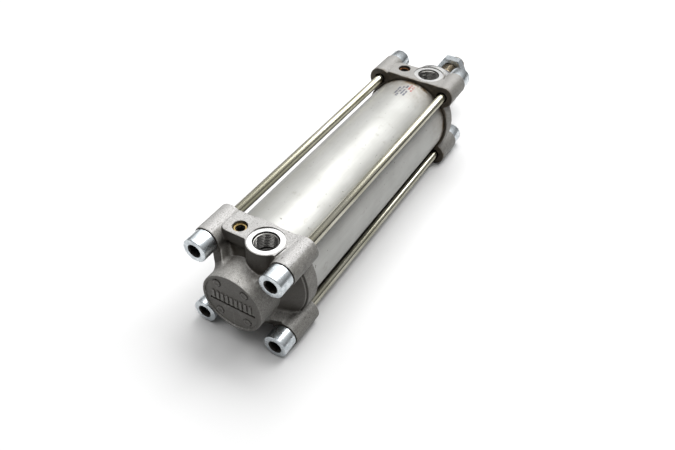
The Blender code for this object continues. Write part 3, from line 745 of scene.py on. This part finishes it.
# Pieces -----------------------------------------------------------------------------
def make_cover(name):
    end = ENDS[name]
    step = {"rear": 0.4, "front": 0.5}[name]
    spots, quads = casting(end, step)
    cover = add_mesh(name + "_cover_cast", spots, quads, 50)
    carve(cover, [spigot_tube_end(end)], "UNION", 35)
    machine(cover, end)
    if name == "rear":
        rear_face_details(cover)
    smooth(cover, 35)
    place(cover, name + "_cover", [LOOKS["turned_aluminium"], TAPPED_SHADED, SPIGOT])

    def port_ring(c):
        port = np.hypot(c[:, 0] - end.x(PORT_S), c[:, 1] - PORT_Y)
        return (port < 11.95) & (c[:, 2] > 22.5) & (c[:, 2] < PAD + 0.5)

    def tapped(c):
        port = np.hypot(c[:, 0] - end.x(PORT_S), c[:, 1] - PORT_Y)
        hole = np.hypot(c[:, 0] - end.x(SCREW_S), c[:, 1] - SCREW_Y)
        return ((port < 8.4) | (hole < SCREW + 0.5)) & (c[:, 2] > 4) & (c[:, 2] < PAD - 0.7)

    paint_faces(cover, 1, port_ring)
    paint_faces(cover, 2, tapped)
    if name == "front":
        paint_faces(cover, 3, lambda c: c[:, 0] > end.x(-4.2))


def make_tube():
    tube = lathe("barrel_tube_body", [
        (37.3, BORE + 0.4), (37.3, TUBE - 0.5), (37.8, TUBE), (251.2, TUBE), (251.7, TUBE - 0.5),
        (251.7, BORE + 0.4), (251.3, BORE), (37.7, BORE)], 256)
    place(tube, "barrel_tube")


def make_tie_rods():
    first, last, shank, crest, length = 19.5, 269.5, 3.6, 3.9, 14.0
    pitch, depth = 1.25, 0.6
    for corner, (left, top) in CORNERS.items():

        def thread(x, angle, radius):
            if radius < crest - 1e-6 or first + length - 1 < x < last - length + 1:
                return np.full(len(angle), radius)
            return radius - depth * (1 - thread_shape(x / pitch - angle / (2 * math.pi)))

        rows = [(x, crest) for x in threaded_rows(first + 0.8, first + length - 0.6, pitch, 6)]
        back = [(first + last - x, r) for x, r in reversed(rows)]
        profile = [(first, 0), (first, crest - 0.8)] + rows + [(first + length, shank)]
        profile += [(last - length, shank)] + back + [(last, crest - 0.8), (last, 0)]
        rod = lathe("tie_rod_%s_bar" % corner, profile, 40, (0, left * PITCH, top * PITCH), radius_at=thread)
        place(rod, "tie_rod_" + corner)


SOCKET_TURNS = {"upper_left": 12, "upper_right": 41, "lower_left": 3, "lower_right": 24}


def make_nuts():
    seat, tip, outer, bore, edge = 11.7, 23.7, 8.5, 4.2, 0.75
    for name, end in ENDS.items():
        for corner, (left, top) in CORNERS.items():
            at = (0, left * PITCH, top * PITCH)
            outline = [(0.0, 5.2), (0.0, outer - edge)]
            outline += [(0.45 * (1 - math.cos(a)) + 0.05, outer - edge + edge * math.sin(a))
                        for a in np.linspace(0.2, math.pi / 2, 4)]
            outline += [(seat - 0.35, outer), (seat, outer - 0.35), (seat, 5.9), (tip - 0.5, 5.9), (tip, 5.4),
                        (tip, bore), (7.2, bore), (6.2, 5.2)]
            nut = lathe("%s_nut_%s_collar" % (name, corner), end.profile(outline), 72, at)
            plug = lathe("plug", end.profile([(0.35, 0), (0.0, 5.3), (6.3, 5.3), (6.3, 0)]), 48, at)
            turn = math.radians(SOCKET_TURNS[corner])
            hexagonal = prism("hexagonal", hexagon(8.0, turn), end.x(-1), end.x(6.0), "X", (0, at[1], at[2]))
            drilled = lathe("drilled", end.profile([
                (-1, 0), (-1, 6.1), (0.9, 4.0), (6.0, 4.0), (7.5, 0)]), 48, at)
            carve(nut, [plug], "UNION")
            carve(nut, [hexagonal, drilled])
            place(nut, "%s_nut_%s" % (name, corner), [SOCKET_SHADE])

            def socket(c):
                station = (c[:, 0] - end.plane) * end.inwards
                return (np.hypot(c[:, 1] - at[1], c[:, 2] - at[2]) < 4.95) & (station > 0.1) & (station < 8)

            # the socket's faces take the painted shade
            paint_faces(nut, 1, socket)


def make_screws():
    for name, end in ENDS.items():
        at = (end.x(SCREW_S), SCREW_Y, 0)
        top = PAD - 1.8
        profile = [(top, 0), (top, SCREW - 0.35), (top - 0.3, SCREW)]
        profile += [(top - 9.0, SCREW), (top - 9.0, 3.1), (top - 11.0, 3.1), (top - 11.0, SCREW - 0.4),
                    (top - 12.5, SCREW - 0.4), (top - 12.5, 1.5), (top - 15.0, 0.8), (top - 15.0, 0)]
        screw = lathe(name + "_cushion_screw_needle", profile, 64, at, upright=True)
        recess = lathe("recess", [
            (top - 1.4, 0), (top - 1.4, 3.0), (top - 0.25, 3.05), (top + 1, 4.1), (top + 1, 0)],
            48, at, upright=True)
        key = prism("key", hexagon(5.0, 0.3), top - 4.5, top - 0.5, "Z", at)
        carve(screw, [recess, key])
        place(screw, name + "_cushion_screw", [SOCKET_SHADE])

        def socket(c):
            inside = np.hypot(c[:, 0] - at[0], c[:, 1] - at[1]) < 3.05
            return inside & (c[:, 2] > top - 5) & (c[:, 2] < top - 0.2)

        # the socket's faces take the painted shade
        paint_faces(screw, 1, socket)


def make_rod():
    pitch, depth, crest = 1.5, 0.85, 8.0
    first, last = SHOULDER + 2.4, ROD_END - 1.3
    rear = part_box("piston_rod")[0].x / MM
    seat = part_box("front_cushion_sleeve")[0].x / MM

    def thread(x, angle, radius):
        if not first - 0.01 < x < last + 0.01:
            return np.full(len(angle), radius)
        fade = min(1.0, (x - first) / 1.0, (last + 0.4 - x) / 0.8)
        return radius - depth * (1 - thread_shape(x / pitch - angle / (2 * math.pi))) * fade

    profile = [(rear, 0), (rear, 5.2), (rear + 0.8, 6.0), (seat, 6.0), (seat, 10.0)]
    profile += [(SHOULDER - 1.0, 10.0), (SHOULDER, 9.0), (SHOULDER, 7.0), (SHOULDER + 1.6, 7.0)]
    profile += [(x, crest) for x in threaded_rows(first, last, pitch)]
    profile += [(ROD_END - 0.9, 7.2), (ROD_END, 6.7), (ROD_END, 0)]
    rod = lathe("piston_rod_bar", profile, 96, radius_at=thread)
    flats = []
    for side in (1, -1):
        a, b = sorted((side * 8.5, side * 12))
        outline = [(SHOULDER - 12, -12), (SHOULDER - 2, -12), (SHOULDER - 2, 12), (SHOULDER - 12, 12)]
        flats.append(prism("flat", outline, a, b))
    carve(rod, flats)
    place(rod, "piston_rod", [THREAD])
    paint_faces(rod, 1, lambda c: c[:, 0] > SHOULDER + 1)


def make_lock_nut():
    low, high, flats, bore = SHOULDER + 14, SHOULDER + 22, 24.0, 8.3
    tip = flats / 2 / math.cos(math.pi / 6)
    nut = prism("rod_lock_nut_hexagon", hexagon(flats), low, high, "X")
    face = 12.6
    shell = [(low - 1, tip + 3), (low - 1, face), (low - 0.01, face), (low + 1.1, tip + 0.4),
             (high - 1.1, tip + 0.4), (high + 0.01, face), (high + 1, face), (high + 1, tip + 3)]
    hole = [(low - 1, 0), (low - 1, 9.3), (low + 1.0, bore), (high - 1.0, bore), (high + 1, 9.3),
            (high + 1, 0)]
    tools = [lathe("chamfers", shell, 96), lathe("hole", hole, 64)]
    carve(nut, tools)
    place(nut, "rod_lock_nut")


def make_wiper():
    end = ENDS["front"]
    wiper = lathe("rod_wiper_seal_lip", end.profile([
        (-9.3, 10.6), (-9.3, 14.5), (-16.2, 14.5), (-16.2, 12.8), (-17.2, 12.2), (-18.2, 11.2),
        (-18.2, 10.35), (-17.4, 10.3), (-16.0, 11.0), (-14.5, 11.0), (-13.5, 10.35), (-12.5, 10.9)]), 96)
    place(wiper, "rod_wiper_seal")


make_cover("rear")
make_cover("front")
make_tube()
make_tie_rods()
make_nuts()
make_screws()
make_rod()
make_lock_nut()
make_wiper()
for node, obj in frame["nodes"].items():
    if not obj.hide_render:
        obj.data.materials.clear()
        obj.data.materials.append(LOOKS[SLOT_OF[node]])


# Stage: floor, light and camera -----------------------------------------------------
def make_floor():
    size, height = 6000.0, -37.5
    floor = add_mesh("floor", [(-size, -size, height), (size, -size, height), (size, size, height),
                               (-size, size, height)], [(0, 1, 2, 3)])
    look = Look("floor_paper")
    cloud = look.noise(900, 2, 0.4)
    floor.data.materials.append(look.finish(look.ramp(cloud, [(0.3, 0.57), (0.7, 0.59)]), 0.9, 0.0))


def direction(azimuth, elevation):
    """The unit vector towards an azimuth and elevation in degrees."""
    a, e = math.radians(azimuth), math.radians(elevation)
    return Vector((math.cos(a) * math.cos(e), math.sin(a) * math.cos(e), math.sin(e)))


def make_light(name, target, azimuth, elevation, distance, size, power):
    data = bpy.data.lights.new(name, "AREA")
    data.shape = "RECTANGLE"
    data.size, data.size_y = size
    data.energy = power
    lamp = bpy.data.objects.new(name, data)
    bpy.context.scene.collection.objects.link(lamp)
    towards = direction(azimuth, elevation)
    lamp.location = Vector(target) + towards * distance
    lamp.rotation_euler = towards.to_track_quat("Z", "Y").to_euler()
    return lamp


def make_world():
    """A dim studio: lighter overhead, dark along the horizon, and darkest behind the rear cover."""
    world = bpy.data.worlds.new("studio")
    bpy.context.scene.world = world
    world.use_nodes = True
    tree = world.node_tree
    background = tree.nodes["Background"]
    place = tree.nodes.new("ShaderNodeTexCoord").outputs["Generated"]
    split = tree.nodes.new("ShaderNodeSeparateXYZ")
    tree.links.new(place, split.inputs[0])
    ramp = tree.nodes.new("ShaderNodeValToRGB")
    set_stops(ramp, [(0.0, 0.06), (0.17, 0.09), (0.34, 0.5), (0.6, 0.62), (1.0, 0.9)])
    tree.links.new(split.outputs["Z"], ramp.inputs["Fac"])
    tree.links.new(ramp.outputs["Color"], background.inputs["Color"])
    sideways = tree.nodes.new("ShaderNodeMapRange")
    sideways.inputs["From Min"].default_value = -0.9
    sideways.inputs["From Max"].default_value = 0.3
    sideways.inputs["To Min"].default_value = 0.25
    sideways.inputs["To Max"].default_value = 0.9
    tree.links.new(split.outputs["X"], sideways.inputs["Value"])
    tree.links.new(sideways.outputs["Result"], background.inputs["Strength"])


def make_camera():
    """Above and behind the rear cover, leaning a little, looking at a point beside the axis."""
    target = Vector((97.19, -18.95, 0.0)) * MM
    azimuth, elevation, roll, distance = -150.326, 42.532, math.radians(1.363), 470.3
    data = bpy.data.cameras.new("camera")
    data.lens = 35.73
    data.sensor_width = 36.0
    data.sensor_fit = "HORIZONTAL"
    data.clip_start, data.clip_end = 0.01, 50
    camera = bpy.data.objects.new("camera", data)
    bpy.context.scene.collection.objects.link(camera)
    back = direction(azimuth, elevation)
    level = direction(azimuth + 90, 0)
    upright = back.cross(level)
    right = level * math.cos(roll) + upright * math.sin(roll)
    turn = Matrix((right, back.cross(right), back)).transposed().to_4x4()
    camera.matrix_world = Matrix.Translation(target + back * distance * MM) @ turn
    bpy.context.scene.camera = camera


make_floor()
make_world()
CENTER = (0.15, 0, 0)
make_light("softbox_back", CENTER, -9, 61, 1.35, (1.2, 0.75), 22.5)
make_light("softbox_side", CENTER, 55, 32, 1.35, (0.8, 0.8), 2.0)
make_light("softbox_top", CENTER, 120, 81, 1.3, (1.4, 1.4), 13.5)
make_camera()
scene = bpy.context.scene
scene.view_settings.view_transform = "Standard"
scene.view_settings.look = "None"
scene.view_settings.exposure = 0.0
scene.view_settings.gamma = 1.0
